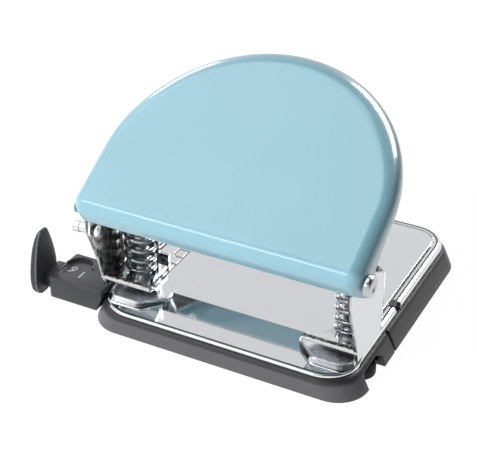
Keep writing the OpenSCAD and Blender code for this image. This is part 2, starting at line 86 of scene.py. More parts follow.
class PunchColours(bpy.types.PropertyGroup):
    """Colours of the finishes"""
    paint: colour("Lever paint", "Pale blue gloss paint", (0.215, 0.42, 0.50))
    chrome: colour("Chrome", "Bright plate on the base and brackets", (0.80, 0.82, 0.84))
    steel: colour("Tool steel", "Turned and ground steel", (0.55, 0.56, 0.58))
    wire: colour("Spring steel", "Bright drawn wire", (0.43, 0.44, 0.46))
    plastic: colour("Tray plastic", "Black moulded plastic of the tray", (0.088, 0.088, 0.093))
    guide: colour("Guide plastic", "Darker plastic of the paper guide", (0.030, 0.031, 0.035))
    rubber: colour("Feet rubber", "Dull dark rubber", (0.045, 0.045, 0.048))
    ink: colour("Scale print", "Pale print on the paper guide", (0.55, 0.57, 0.60))
    floor: colour("Floor", "Pale studio floor", (0.93, 0.93, 0.93))


def sizes():
    """The sizes in the panel"""
    return bpy.context.scene.punch_sizes


def colours():
    """The colours in the panel"""
    return bpy.context.scene.punch_colours


# ---------- shader maths ----------
class Value:
    """A shader socket that takes part in plain arithmetic"""

    def __init__(self, finish, socket):
        self.finish = finish
        self.socket = socket

    def _with(self, operation, first, second):
        out = self.finish.node("ShaderNodeMath", {"operation": operation}, {0: first, 1: second})
        return Value(self.finish, out.outputs[0])

    def __add__(self, other):
        return self._with("ADD", self, other)

    def __radd__(self, other):
        return self._with("ADD", other, self)

    def __sub__(self, other):
        return self._with("SUBTRACT", self, other)

    def __rsub__(self, other):
        return self._with("SUBTRACT", other, self)

    def __mul__(self, other):
        return self._with("MULTIPLY", self, other)

    def __rmul__(self, other):
        return self._with("MULTIPLY", other, self)

    def __abs__(self):
        return self._with("ABSOLUTE", self, 0.0)

    def __lt__(self, other):
        return self._with("LESS_THAN", self, other)

    def __gt__(self, other):
        return self._with("GREATER_THAN", self, other)

    def span(self, low, high):
        """0 at low, 1 at high, smooth between them"""
        out = self.finish.node("ShaderNodeMapRange", {"interpolation_type": "SMOOTHSTEP"},
                               {"Value": self, "From Min": low, "From Max": high})
        return Value(self.finish, out.outputs["Result"])


class Finish:
    """One procedural material built node by node, or the world's tree where one is given"""

    def __init__(self, name, tree=None):
        if tree is None:
            self.material = bpy.data.materials.new(name)
            self.material.use_nodes = True
            tree = self.material.node_tree
        self.tree = tree
        self.tree.nodes.clear()

    def node(self, kind, settings=None, inputs=None):
        """Adds a node: settings first, then the values or links of its sockets"""
        made = self.tree.nodes.new(kind)
        for key, value in (settings or {}).items():
            setattr(made, key, value)
        for key, value in (inputs or {}).items():
            self.put(made.inputs[key], value)
        return made

    def put(self, socket, value):
        """Links or sets one socket"""
        if isinstance(value, Value):
            self.tree.links.new(value.socket, socket)
        elif isinstance(value, bpy.types.NodeSocket):
            self.tree.links.new(value, socket)
        elif socket.type == "RGBA" and len(value) == 3:
            socket.default_value = (*value, 1.0)
        else:
            socket.default_value = value

    def place(self, scale=(1, 1, 1)):
        """Position on the piece itself, stretched by scale"""
        where = self.node("ShaderNodeTexCoord").outputs["Object"]
        return self.node("ShaderNodeVectorMath", {"operation": "MULTIPLY"}, {0: where, 1: scale}).outputs[0]

    def where(self):
        """Position on the piece as three values, x, y and z in metres"""
        parts = self.node("ShaderNodeSeparateXYZ", {}, {0: self.place()}).outputs
        return [Value(self, parts[axis]) for axis in "XYZ"]

    def towards(self, vector, direction):
        """How far a vector points in a direction, from -1 to 1"""
        dot = self.node("ShaderNodeVectorMath", {"operation": "DOT_PRODUCT"}, {0: vector, 1: direction})
        return Value(self, dot.outputs["Value"])

    def noise(self, size, detail=2.0, stretch=(1, 1, 1), rough=0.5):
        """Soft noise whose grains are about size metres across"""
        out = self.node("ShaderNodeTexNoise", {}, {
            "Vector": self.place(stretch), "Scale": 1.0 / size, "Detail": detail, "Roughness": rough})
        return Value(self, out.outputs["Fac"])

    def edges(self, radius):
        """Rounded normal of the edges, and a mask that is 1 on them"""
        soft = self.node("ShaderNodeBevel", {"samples": 6}, {"Radius": radius}).outputs["Normal"]
        flat = self.node("ShaderNodeNewGeometry").outputs["Normal"]
        return soft, (1.0 - self.towards(soft, flat)).span(0.01, 0.16)

    def bump(self, height, strength, distance, normal=None):
        """Normal of a surface raised by height, on top of another normal if one is given"""
        inputs = {"Height": height, "Strength": strength, "Distance": distance}
        if normal is not None:
            inputs["Normal"] = normal
        return self.node("ShaderNodeBump", {}, inputs).outputs["Normal"]

    def mix(self, mask, first, second):
        """first where mask is 0, second where it is 1"""
        out = self.node("ShaderNodeMix", {"data_type": "RGBA"}, {0: mask, 6: first, 7: second})
        return out.outputs[2]

    def shader(self, **inputs):
        """Ends the material with a Principled shader and gives it back"""
        made = self.node("ShaderNodeBsdfPrincipled", {}, {
            key.replace("_", " "): value for key, value in inputs.items()})
        self.node("ShaderNodeOutputMaterial", {}, {"Surface": made.outputs[0]})
        return self.material


def shade(rgb, k):
    """A colour made k times as bright"""
    return tuple(min(1.0, c * k) for c in rgb)


FINISHES = {}


def finish(name):
    """The material of that name, made once"""
    if name not in FINISHES:
        FINISHES[name] = MAKERS[name](name)
    return FINISHES[name]


def lever_paint(name):
    """Sprayed gloss paint: faint orange peel and cloudiness under a clear, hard surface"""
    f = Finish(name)
    base = colours().paint
    cloud = f.noise(0.03, 2.0).span(0.3, 0.7)
    peel = f.noise(0.0016, 1.0)
    return f.shader(Base_Color=f.mix(cloud, shade(base, 0.985), shade(base, 1.015)),
                    Roughness=0.30 + cloud * 0.05, Coat_Weight=1.0, Coat_Roughness=0.07,
                    Specular_IOR_Level=0.5, Normal=f.bump(peel, 0.05, 0.00006))


def bright_chrome(name):
    """Plated sheet: nearly a mirror, with polishing haze, cut edges a little rougher and painted dark as a painted
    dark reflection, and tongues dulled by sheets
    """
    f = Finish(name)
    base = colours().chrome
    soft, edge = f.edges(0.3 * MM)
    haze = f.noise(0.012, 3.0).span(0.35, 0.75)
    polish = f.noise(0.0007, 2.0, (0.12, 1, 1))
    _, y, z = f.where()
    tongues_from, tongues_full, tongues_above = -34.5 * MM, -37.5 * MM, 10.4 * MM
    dulled = y.span(tongues_from, tongues_full) * (z > tongues_above)
    # the edge mask paints the colour down to 0.3 of the chrome: a painted dark reflection along the edges
    return f.shader(Base_Color=f.mix(edge * 0.7, base, shade(base, 0.3)), Metallic=1.0,
                    Roughness=0.05 + haze * 0.03 + polish * 0.02 + edge * 0.04 + dulled * 0.2,
                    Normal=f.bump(polish, 0.02, 0.00002, soft))


def worked_plate(name):
    """Plated bracket sheet: outside a copy of the chrome painted darker as painted shade, with edges painted dark;
    inside painted near black with paler streaks as a painted dark reflection, and rougher there
    """
    f = Finish(name)
    base = colours().chrome
    soft, edge = f.edges(0.25 * MM)
    x, _, z = f.where()
    inside_face, dark_reflection_from = 47.3 * MM, 17.3 * MM
    inside = (abs(x) < inside_face) * (z > dark_reflection_from)
    streak = f.noise(0.0011, 3.0, (1, 1, 0.14), 0.6)
    # painted dark reflection inside the bracket: near black with paler streaks
    painted_dark_reflection = f.mix(streak.span(0.38, 0.66), (0.10, 0.10, 0.10), (0.50, 0.49, 0.46))
    # outside painted at 0.8 of the chrome as painted shade, its edges painted dark as a painted dark reflection
    bright = f.mix(edge * 0.5, shade(base, 0.80), shade(base, 0.4))
    return f.shader(Base_Color=f.mix(inside, bright, painted_dark_reflection), Metallic=1.0,
                    Roughness=0.09 + inside * (0.05 + streak * 0.16) + edge * 0.05,
                    Normal=f.bump(streak, 0.06, 0.00004, soft))


def turned_steel(name):
    """Ground and turned steel: fine rings and a satin sheen"""
    f = Finish(name)
    base = colours().steel
    soft, edge = f.edges(0.2 * MM)
    rings = f.noise(0.00035, 2.0, (0.25, 0.25, 1))
    stain = f.noise(0.006, 3.0).span(0.4, 0.8)
    return f.shader(Base_Color=f.mix(stain * 0.5, base, shade(base, 0.72)),
                    Metallic=1.0, Roughness=0.20 + rings * 0.14 + edge * 0.05,
                    Normal=f.bump(rings, 0.15, 0.00003, soft))


def blackened(name):
    """Painted shade: near-black strips, patchy in tone, laid in grooves and seams where shade and dark reflections
    fall
    """
    f = Finish(name)
    patchiness = f.noise(0.0012, 3.0).span(0.35, 0.7)
    return f.shader(Base_Color=f.mix(patchiness, (0.012, 0.012, 0.013), (0.06, 0.06, 0.062)),
                    Roughness=0.45 + patchiness * 0.2)


def drawn_wire(name):
    """Bright drawn wire and strip with fine lengthwise lines"""
    f = Finish(name)
    base = colours().wire
    lines = f.noise(0.0003, 2.0, (1, 1, 3.0))
    return f.shader(Base_Color=f.mix(lines.span(0.35, 0.7), shade(base, 0.86), base),
                    Metallic=1.0, Roughness=0.06 + lines * 0.08,
                    Normal=f.bump(lines, 0.08, 0.00002))


def moulded(name, base, highlight_share, highlight_shade, band=1.0):
    """Black plastic: spark-eroded grain, edges painted paler as a painted highlight, patchy along their length;
    band darkens the upper part of a tray as a painted dark reflection
    """
    f = Finish(name)
    soft, edge = f.edges(sizes().edge_break)
    grain = f.noise(0.00032, 2.0)
    patchiness = f.noise(0.009, 3.0).span(0.35, 0.75)
    # painted highlight: the edges painted paler, patchy along their length
    edge_highlight = edge * (highlight_share + patchiness * highlight_share)
    _, _, z = f.where()
    band_from, band_full = 5.3 * MM, 6.5 * MM
    # painted dark reflection: the part above band_from painted darker by band
    body = f.mix(z.span(band_from, band_full), base, shade(base, band))
    return f.shader(Base_Color=f.mix(edge_highlight, body, shade(base, highlight_shade)),
                    Roughness=0.34 + grain * 0.1 + patchiness * 0.06, Specular_IOR_Level=0.5,
                    Normal=f.bump(grain, 0.2, 0.00005, soft))


def moulded_black(name):
    """The tray's satin plastic, its upper part painted darker as a painted dark reflection and its edges a little
    paler as a painted highlight
    """
    return moulded(name, colours().plastic, 0.12, 1.3, 0.3)


def guide_black(name):
    """The paper guide's plastic, darker, with its edges painted pale as a painted highlight"""
    return moulded(name, colours().guide, 0.4, 5.0)


def worn_rim(name):
    """The guide's rim, painted pale as a painted highlight"""
    return moulded(name, shade(colours().guide, 4.5), 0.3, 1.6)


def foot_rubber(name):
    """Dull rubber with a dusty bloom"""
    f = Finish(name)
    base = colours().rubber
    soft, edge = f.edges(0.5 * MM)
    bloom = f.noise(0.004, 4.0).span(0.4, 0.8)
    grain = f.noise(0.0005, 3.0)
    return f.shader(Base_Color=f.mix(bloom * 0.6 + edge * 0.2, base, shade(base, 2.0)),
                    Roughness=0.82 + bloom * 0.1, Normal=f.bump(grain, 0.3, 0.00008, soft))


def scale_print(name):
    """Pale raised print, thin at its rims"""
    f = Finish(name)
    base = colours().ink
    wear = f.noise(0.0009, 3.0).span(0.35, 0.6)
    return f.shader(Base_Color=f.mix(wear, shade(base, 0.75), base), Roughness=0.5 + wear * 0.1)


MAKERS = {maker.__name__: maker for maker in (
    lever_paint, bright_chrome, worked_plate, turned_steel, blackened, drawn_wire,
    moulded_black, guide_black, worn_rim, foot_rubber, scale_print)}
SLOT_FINISH = {"blue_paint": "lever_paint", "chrome": "bright_chrome", "tool_steel": "turned_steel",
               "spring_steel": "drawn_wire", "black_plastic": "moulded_black", "rubber": "foot_rubber"}


# ---------- mesh helpers ----------
def piece(name, verts, faces, body, slot, smooth=True, covers=(), skin=None):
    """Makes a mesh piece that rides on a body and takes its finish from a slot"""
    mesh = bpy.data.meshes.new(name)
    mesh.from_pydata([tuple(v) for v in verts], [], faces)
    work = bmesh.new()
    work.from_mesh(mesh)
    bmesh.ops.remove_doubles(work, verts=work.verts, dist=1e-7)
    bmesh.ops.recalc_face_normals(work, faces=work.faces)
    work.to_mesh(mesh)
    work.free()
    if smooth:
        mesh.shade_smooth()
    made = bpy.data.objects.new(name, mesh)
    bpy.context.scene.collection.objects.link(made)
    mesh.materials.append(finish(skin or SLOT_FINISH[slot]))
    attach(made, body)
    if covers:
        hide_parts(*covers)
    return made


def sharpen(made, degrees):
    """Smooth shading with creases above an angle"""
    mesh = made.data
    mesh.shade_smooth()
    work = bmesh.new()
    work.from_mesh(mesh)
    limit = math.radians(degrees)
    for edge in work.edges:
        if len(edge.link_faces) == 2 and edge.calc_face_angle(0.0) > limit:
            edge.smooth = False
    work.to_mesh(mesh)
    work.free()


def grid_faces(rows, cols, closed_cols=False, start=0):
    """Faces between rows of points, closed round each row or left open"""
    faces = []
    for i in range(rows - 1):
        for j in range(cols if closed_cols else cols - 1):
            a, b = start + i * cols, start + (i + 1) * cols
            k = (j + 1) % cols
            faces.append((a + j, a + k, b + k, b + j))
    return faces


def end_faces(rows, cols, start=0):
    """The two faces that close a tube of rows of points"""
    last = start + (rows - 1) * cols
    return [tuple(range(start, start + cols))[::-1], tuple(range(last, last + cols))]


def swept(path, radius, sides):
    """A tube along a path of points, closed at both ends"""
    verts, count = [], len(path)
    up = Vector((0, 0, 1))
    for i, p in enumerate(path):
        ahead = (path[min(i + 1, count - 1)] - path[max(i - 1, 0)]).normalized()
        a = up.cross(ahead).normalized()
        b = ahead.cross(a)
        for k in range(sides):
            t = 2 * math.pi * k / sides
            verts.append(p + radius * (math.cos(t) * a + math.sin(t) * b))
    return verts, grid_faces(count, sides, closed_cols=True) + end_faces(count, sides)


def turned(outline, centre, axis="Z", steps=64):
    """A solid of revolution: outline is (radius, height) pairs from one end to the other"""
    verts = []
    for r, h in outline:
        for k in range(steps):
            t = 2 * math.pi * k / steps
            c, s = r * math.cos(t), r * math.sin(t)
            verts.append(Vector({"Z": (c, s, h), "X": (h, c, s)}[axis]) + Vector(centre))
    rows = len(outline)
    return verts, grid_faces(rows, steps, closed_cols=True) + end_faces(rows, steps)


def prism(profile, axis, start, end):
    """A profile in mm drawn out along an axis: verts and faces"""
    places = {"X": lambda p, along: (along, *p), "Y": lambda p, along: (p[0], along, p[1]),
              "Z": lambda p, along: (*p, along)}
    verts = [Vector(places[axis](p, along)) * MM for along in (start, end) for p in profile]
    return verts, grid_faces(2, len(profile), closed_cols=True) + end_faces(2, len(profile))


def block(low, high, round_by=0.0, steps=3):
    """A box from corner to corner in mm, its edges rounded: verts and faces"""
    work = bmesh.new()
    bmesh.ops.create_cube(work, size=1.0)
    for vert in work.verts:
        vert.co = Vector([(a + b) / 2 + c * (b - a) for a, b, c in zip(low, high, vert.co)]) * MM
    if round_by:
        bmesh.ops.bevel(work, geom=list(work.edges), offset=round_by * MM, segments=steps, profile=0.5,
                        affect="EDGES", clamp_overlap=True)
    return out_of(work)


def side_block(side, low, high, round_by=0.0):
    """A block given by its right-hand numbers, on the side -1 (left) or 1 (right)"""
    x0, x1 = sorted((side * low[0], side * high[0]))
    return block((x0, *low[1:]), (x1, *high[1:]), round_by)


def out_of(work):
    """Verts and faces of a bmesh, which is freed"""
    work.verts.ensure_lookup_table()
    verts = [v.co.copy() for v in work.verts]
    faces = [tuple(v.index for v in f.verts) for f in work.faces]
    work.free()
    return verts, faces


def rod(radius, foot, top):
    """An upright cutter rod from its foot's centre to a height, in mm"""
    return turned([(radius * MM, 0.0), (radius * MM, (top - foot[2]) * MM)], Vector(foot) * MM, steps=48)


def carve(made, shapes, operation="DIFFERENCE"):
    """Cuts closed shapes (verts, faces) out of a piece, or adds them, and keeps only the result"""
    for verts, faces in shapes:
        mesh = bpy.data.meshes.new("cutter")
        mesh.from_pydata([tuple(v) for v in verts], [], faces)
        work = bmesh.new()
        work.from_mesh(mesh)
        bmesh.ops.recalc_face_normals(work, faces=work.faces)
        work.to_mesh(mesh)
        work.free()
        tool = bpy.data.objects.new("cutter", mesh)
        bpy.context.scene.collection.objects.link(tool)
        step = made.modifiers.new("cut", "BOOLEAN")
        step.operation, step.solver, step.object = operation, "EXACT", tool
        bpy.context.view_layer.update()
        cut = bpy.data.meshes.new_from_object(made.evaluated_get(bpy.context.evaluated_depsgraph_get()))
        made.modifiers.clear()
        old, name = made.data, made.data.name
        made.data = cut
        bpy.data.meshes.remove(old)
        cut.name = name
        bpy.data.objects.remove(tool)
        bpy.data.meshes.remove(mesh)


def smoothstep(t):
    """0 to 1, easing in and out"""
    t = min(1.0, max(0.0, t))
    return t * t * (3 - 2 * t)


def side_name(side):
    """The name of the side -1 or 1"""
    return "left" if side < 0 else "right"


def rounded_plan(half_x, y0, y1, corner, steps=12):
    """Rounded rectangle: (x, y, inward normal x, inward normal y) round the outline"""
    points = []
    for sx, sy, turn in ((1, 1, 0.0), (-1, 1, 0.5), (-1, -1, 1.0), (1, -1, 1.5)):
        cx, cy = sx * (half_x - corner), (y1 - corner if sy > 0 else y0 + corner)
        for i in range(steps + 1):
            t = math.pi * (turn + 0.5 * i / steps)
            points.append((cx + corner * math.cos(t), cy + corner * math.sin(t), -math.cos(t), -math.sin(t)))
    return points


# ---------- pieces ----------
def finish_frame():
    """Gives every carried-over node the finish of its slot"""
    record = frame["record"]
    slots = {s["node"]: s["material_slot"] for s in record["subparts"]}
    special = {"bracket_left": "worked_plate", "bracket_right": "worked_plate", "guide_rail": "guide_black"}
    for name, node in NODES.items():
        node.data.materials.clear()
        node.data.materials.append(finish(special.get(name, SLOT_FINISH[slots[name]])))


# Sizes from here on are in mm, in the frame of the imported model.
# The lever's own frame (y, z): along the lever from its front edge, and above its skin
FRONT_EDGE = (-55.2, 51.1)
TILT = math.radians(29.7)
HALF_WIDTH = 51.3
STRAIGHT = 26.4        # length of the straight sides; the rear is a half circle
BEND = 4.9             # radius of the pressed bend
REAR_BEND = 3.2        # how much wider the bend gets round the rear
SHEET = 1.1
FRONT_DEPTH, SIDE_DEPTH, EAR = 9.0, 7.2, 7.5
PIVOT = (-48.3, 47.0)


def from_lever(x, v, w):
    """A place in the lever's frame as a point of the whole punch"""
    y = FRONT_EDGE[0] + v * math.cos(TILT) - w * math.sin(TILT)
    z = FRONT_EDGE[1] + v * math.sin(TILT) + w * math.cos(TILT)
    return Vector((x, y, z)) * MM


def to_lever(y, z):
    """A place of the whole punch in the lever's frame"""
    dy, dz = y - FRONT_EDGE[0], z - FRONT_EDGE[1]
    return dy * math.cos(TILT) + dz * math.sin(TILT), dz * math.cos(TILT) - dy * math.sin(TILT)


def side_depth(v):
    """Depth of the side flange, which steps down towards the ear and rounds it"""
    pivot_v, pivot_w = to_lever(*PIVOT)
    low = SIDE_DEPTH + 0.9 * smoothstep((24 - v) / 6.5)
    if v < 17.5:
        low = max(low, 8.1 + 1.1 * smoothstep((17.5 - v) / 6.1))
    reach = v - pivot_v
    if abs(reach) < EAR:
        low = max(low, -pivot_w + math.sqrt(EAR * EAR - reach * reach))
    if v < pivot_v:
        low = max(low, -pivot_w + 0.84 * EAR)
    return low


def lever_outline():
    """Plan of the lever: place, inward normal, depth of the flange and width of the bend"""
    rc = sizes().lever_corner / MM
    along_front, round_corner, along_side, round_rear = 30, 12, 44, 60
    # right half, from the middle of the front to the middle of the rear
    points = [(i * (HALF_WIDTH - rc) / along_front, 0.0, 0.0, 1.0, FRONT_DEPTH, BEND)
              for i in range(along_front + 1)]
    for i in range(1, round_corner + 1):
        t = math.pi / 2 * i / round_corner
        v = rc - rc * math.cos(t)
        depth = FRONT_DEPTH + (side_depth(v) - FRONT_DEPTH) * smoothstep(i / round_corner)
        points.append((HALF_WIDTH - rc + rc * math.sin(t), v, -math.sin(t), math.cos(t), depth, BEND))
    for i in range(1, along_side + 1):
        v = rc + (STRAIGHT - rc) * i / along_side
        points.append((HALF_WIDTH, v, -1.0, 0.0, side_depth(v), BEND))
    for i in range(1, round_rear + 1):
        t = math.pi / 2 * i / round_rear
        c, s = math.cos(t), math.sin(t)
        points.append((HALF_WIDTH * c, STRAIGHT + HALF_WIDTH * s, -c, -s, SIDE_DEPTH,
                       BEND + REAR_BEND * smoothstep(i / 26)))
    mirrored = [(-x, v, -nx, nv, depth, bend) for x, v, nx, nv, depth, bend in points[1:-1]]
    return points + mirrored[::-1]


def fall(bend):
    """Depth of a bend below the lever's top"""
    return BEND + 0.12 * (bend - BEND)


def lever_skin():
    """Pressed lever shell with rolled edges, round ears and a rolled cut lip"""
    outline = lever_outline()
    lip = sizes().lever_lip / MM
    arc = [math.pi / 2 * i / 10 for i in range(11)]

    def ring(inset, height):
        """One row round the outline: inset from it and height, each worked out from depth and bend"""
        return [from_lever(x + nx * inset(bend), v + nv * inset(bend), height(depth, bend))
                for x, v, nx, nv, depth, bend in outline]

    def flange(share):
        """Height at a share of the way from the bend to the lip"""
        return lambda depth, bend: -fall(bend) - (depth - lip - fall(bend)) * share

    rows = [ring(lambda r: r * (1 - math.sin(t)), lambda d, r: -fall(r) * (1 - math.cos(t))) for t in arc]
    rows += [ring(lambda r: 0.0, flange(share)) for share in (0.35, 0.7)]
    for i in range(7):
        t = math.pi * i / 6
        rows.append(ring(lambda r: SHEET / 2 * (1 - math.cos(t)), lambda d, r: lip - d - lip * math.sin(t)))
    rows += [ring(lambda r: SHEET, flange(share)) for share in (0.7, 0.35)]
    rows += [ring(lambda r: SHEET + (r - SHEET) * (1 - math.sin(t)),
                  lambda d, r: -SHEET - (fall(r) - SHEET) * (1 - math.cos(t))) for t in arc[::-1]]
    verts = [point for row in rows for point in row]
    faces = grid_faces(len(rows), len(outline), closed_cols=True) + end_faces(len(rows), len(outline))
    made = piece("lever_skin", verts, faces, "lever", "blue_paint", covers=["handle_shell"])
    flatten = made.modifiers.new("flat_faces_lead", "WEIGHTED_NORMAL")
    flatten.weight = 100


def trimmed_brackets():
    """Brackets whose back wall stops beside the spring, leaving a low tab at its foot"""
    for side in (-1, 1):
        node = NODES["bracket_" + side_name(side)]
        mesh = node.data.copy()
        mesh.transform(node.matrix_world)
        shape = [v.co.copy() for v in mesh.vertices], [tuple(p.vertices) for p in mesh.polygons]
        bpy.data.meshes.remove(mesh)
        made = piece("bracket_plate_" + side_name(side), *shape, "base", "chrome",
                     covers=["bracket_" + side_name(side)], skin="worked_plate")
        carve(made, [side_block(side, (35.0, -19.0, 14.4), (40.3, -15.5, 40.0), 0.6)])
        sharpen(made, 30)


PUNCH_X, PUNCH_Y = 40.0, -29.7
SPRING_FOOT, SPRING_TOP = 14.1, 37.7


def coil_spring(side):
    """One spring of round wire with closed ends"""
    wire = sizes().wire / MM
    mean = (sizes().spring_outer / MM - wire) / 2
    turns, dead, close = 4.4, 0.8, wire + 0.5
    low, high = SPRING_FOOT + wire / 2, SPRING_TOP - wire / 2
    total = turns + 2 * dead
    pitch = (high - low - 2 * dead * close) / turns

    def height(t):
        """Height of the wire after t turns: close at the ends, open between them"""
        t = min(total, max(0.0, t))
        if t < dead:
            return low + t * close
        if t > total - dead:
            return high - (total - t) * close
        return low + dead * close + (t - dead) * pitch

    count = int(total * 40)
    path = []
    for i in range(count + 1):
        t = total * i / count
        turn = 2 * math.pi * t
        z = sum(height(t + d) for d in (-0.06, -0.03, 0, 0.03, 0.06)) / 5
        path.append(Vector((side * (PUNCH_X + mean * math.cos(turn)), PUNCH_Y + mean * math.sin(turn), z)) * MM)
    name = side_name(side)
    made = piece("wound_spring_" + name, *swept(path, wire / 2 * MM, 16), "base", "spring_steel",
                 covers=["spring_" + name])
    "punch_slide_" + name
    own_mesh(made)


TRAY_HALF, TRAY_Y, TRAY_CORNER = 51.0, 50.5, 11.5
TRAY_TOP, TRAY_WALL, TRAY_FLOOR = 7.8, 2.0, 1.6
LEAN, LEAN_FROM = 3.4, 0.8      # how far the side walls lean in, and from what height
RAIL_Y, RAIL_Z = -36.75, 6.6
FEET = [(s * 40.2, y) for s in (-1, 1) for y in (-33.0, 36.0)]
FOOT_R = 6.8


def tray_skin():
    """The chip tray: leaning side walls, a rolled upper edge, arches, passages and catches"""
    plan = rounded_plan(TRAY_HALF, -TRAY_Y, TRAY_Y, TRAY_CORNER)
    up = sizes().tray_round / MM
    # (inset, height) up the outside, over the rolled edge and down to the floor inside
    levels = [(0.5, 0.0), (0.15, 0.15), (0.0, 0.5), (0.0, LEAN_FROM), (0.0, 3.5), (0.0, TRAY_TOP - up)]
    for i in range(1, 7):
        t = math.pi / 2 * i / 6
        levels.append((up * (1 - math.cos(t)), TRAY_TOP - up + up * math.sin(t)))
    levels += [(TRAY_WALL - 0.1, TRAY_TOP), (TRAY_WALL, TRAY_TOP - 0.1), (TRAY_WALL, TRAY_FLOOR)]
    verts = []
    for inset, z in levels:
        lean = LEAN * max(0.0, z - LEAN_FROM) / (TRAY_TOP - LEAN_FROM)
        for x, y, nx, ny in plan:
            verts.append(Vector((x + nx * inset - math.copysign(lean, x), y + ny * inset, z)) * MM)
    faces = grid_faces(len(levels), len(plan), closed_cols=True) + end_faces(len(levels), len(plan))
    made = piece("tray_form", verts, faces, "tray", "black_plastic", covers=["tray_shell"])
    pockets = [rod(FOOT_R + 0.8, (x, y, 0.4), 4.0) for x, y in FEET]
    ribs = [block((x - 0.5, -14, 1.5), (x + 0.5, 30, 2.8)) for x in (-24, 0, 24)]
    carve(made, pockets + ribs, "UNION")
    carve(made, [rod(FOOT_R, (x, y, -1.0), 3.0) for x, y in FEET])
    arch = [(-38.9, -1.0), (-38.9, 4.6), (-37.4, 6.0), (-27.6, 6.0), (-24.4, 4.0), (-24.4, -1.0)]
    carve(made, [prism(arch, "X", s * 44.2, s * 53) for s in (-1, 1)])
    slots = [side_block(s, (45.0, -16.4, -1), (53, -14.8, 10)) for s in (-1, 1)]
    passage = block((-53, RAIL_Y - 4.3, RAIL_Z - 0.2), (-39, RAIL_Y + 4.3, RAIL_Z + 3.8))
    carve(made, slots + [passage])
    for s in (-1, 1):
        carve(made, [side_block(s, (43.4, -5.8, 4.8), (46.0, -2.2, 10.4)),
                     side_block(s, (43.9, -5.8, 9.6), (45.9, -2.2, 11.2))], "UNION")
    sharpen(made, 40)


def feet_form():
    """Four rubber feet, drawn out towards the tray's sides where the arches show them"""
    verts, faces, steps = [], [], 64
    rings = [(0.5, 0.0), (0.15, 0.12), (0.0, 0.5), (0.0, 3.0)]      # inset, height
    for x, y in FEET:
        side, start = math.copysign(1, x), len(verts)
        lobes = [((x, y), FOOT_R), ((x + side * 4.3, y + (2.6 if y < 0 else 0.0)), 5.0 if y < 0 else 2.6)]
        for inset, z in rings:
            for k in range(steps):
                t = 2 * math.pi * k / steps
                u = (math.cos(t), math.sin(t))
                (cx, cy), r = max(lobes, key=lambda lobe: lobe[0][0] * u[0] + lobe[0][1] * u[1] + lobe[1])
                verts.append(Vector((cx + (r - inset) * u[0], cy + (r - inset) * u[1], z)) * MM)
        faces += grid_faces(len(rings), steps, closed_cols=True, start=start)
        faces += end_faces(len(rings), steps, start)
    made = piece("feet", verts, faces, "tray", "rubber", covers=["rubber_feet"])
    sharpen(made, 50)


# the guide's blade: height, front edge, rear edge, thickness
BLADE = [(2.2, -44.2, -40.0, 1.6), (3.2, -45.6, -36.8, 2.2), (5.0, -46.7, -34.4, 2.6), (8.0, -47.0, -33.4, 2.9),
         (11.4, -46.7, -33.2, 3.0), (15.0, -46.1, -33.7, 2.9), (19.0, -45.3, -34.7, 2.6),
         (22.6, -44.3, -35.9, 2.1), (25.0, -43.2, -36.9, 1.6), (26.3, -42.2, -37.7, 1.2), (26.8, -41.0, -38.8, 0.8)]
BLADE_X = -73.5


def smooth_levels(levels, steps=5):
    """The levels with smooth ones between them"""
    last, fine = len(levels) - 1, []
    for i in range(last):
        before, a, b, after = levels[max(0, i - 1)], levels[i], levels[i + 1], levels[min(last, i + 2)]
        for k in range(steps):
            t = k / steps
            fine.append([0.5 * (2 * q + (r - p) * t + (2 * p - 5 * q + 4 * r - u) * t * t
                                + (3 * q - p - 3 * r + u) * t ** 3)
                         for p, q, r, u in zip(before, a, b, after)])
    return fine + [list(levels[-1])]


def guide_fin_form():
    """The blade that the sheet's edge meets: a leaning D, thick at its foot, with its root"""
    fine, verts, sides = smooth_levels(BLADE), [], 48
    for z, front, rear, thick in fine:
        for k in range(sides):
            t = 2 * math.pi * k / sides
            c, s = math.cos(t), math.sin(t)
            x = BLADE_X - thick / 2 + thick / 2 * math.copysign(abs(c) ** 0.36, c)
            y = (front + rear) / 2 + (rear - front) / 2 * math.copysign(abs(s) ** 0.55, s)
            verts.append(Vector((x, y, z)) * MM)
    faces = grid_faces(len(fine), sides, closed_cols=True) + end_faces(len(fine), sides)
    piece("guide_blade", verts, faces, "guide", "black_plastic", covers=["guide_fin"], skin="guide_black")
    # pale tube along the blade's front edge: a painted highlight
    rim = [Vector((BLADE_X - 0.15 - thick / 12, front + 0.45, z)) * MM for z, front, _, thick in fine[8:-4]]
    piece("guide_rim", *swept(rim, 0.42 * MM, 10), "guide", "black_plastic", skin="worn_rim")
    stub = block((-74.4, RAIL_Y - 5.0, 3.8), (-70.1, RAIL_Y + 5.0, 9.2), 0.5)
    root = piece("guide_root", *stub, "guide", "black_plastic", skin="guide_black")
    carve(root, [block((-74.3, RAIL_Y - 4.0, RAIL_Z), (-69.0, RAIL_Y + 4.0, RAIL_Z + 1.2))])
    sharpen(root, 40)


HOUSE_X, HOUSE_Y = (-69.8, -47.4), (RAIL_Y - 7.8, RAIL_Y + 10.2)
HOUSE_TOP, WINDOW_FLOOR, WINDOW_X = 10.8, 10.0, -63.6


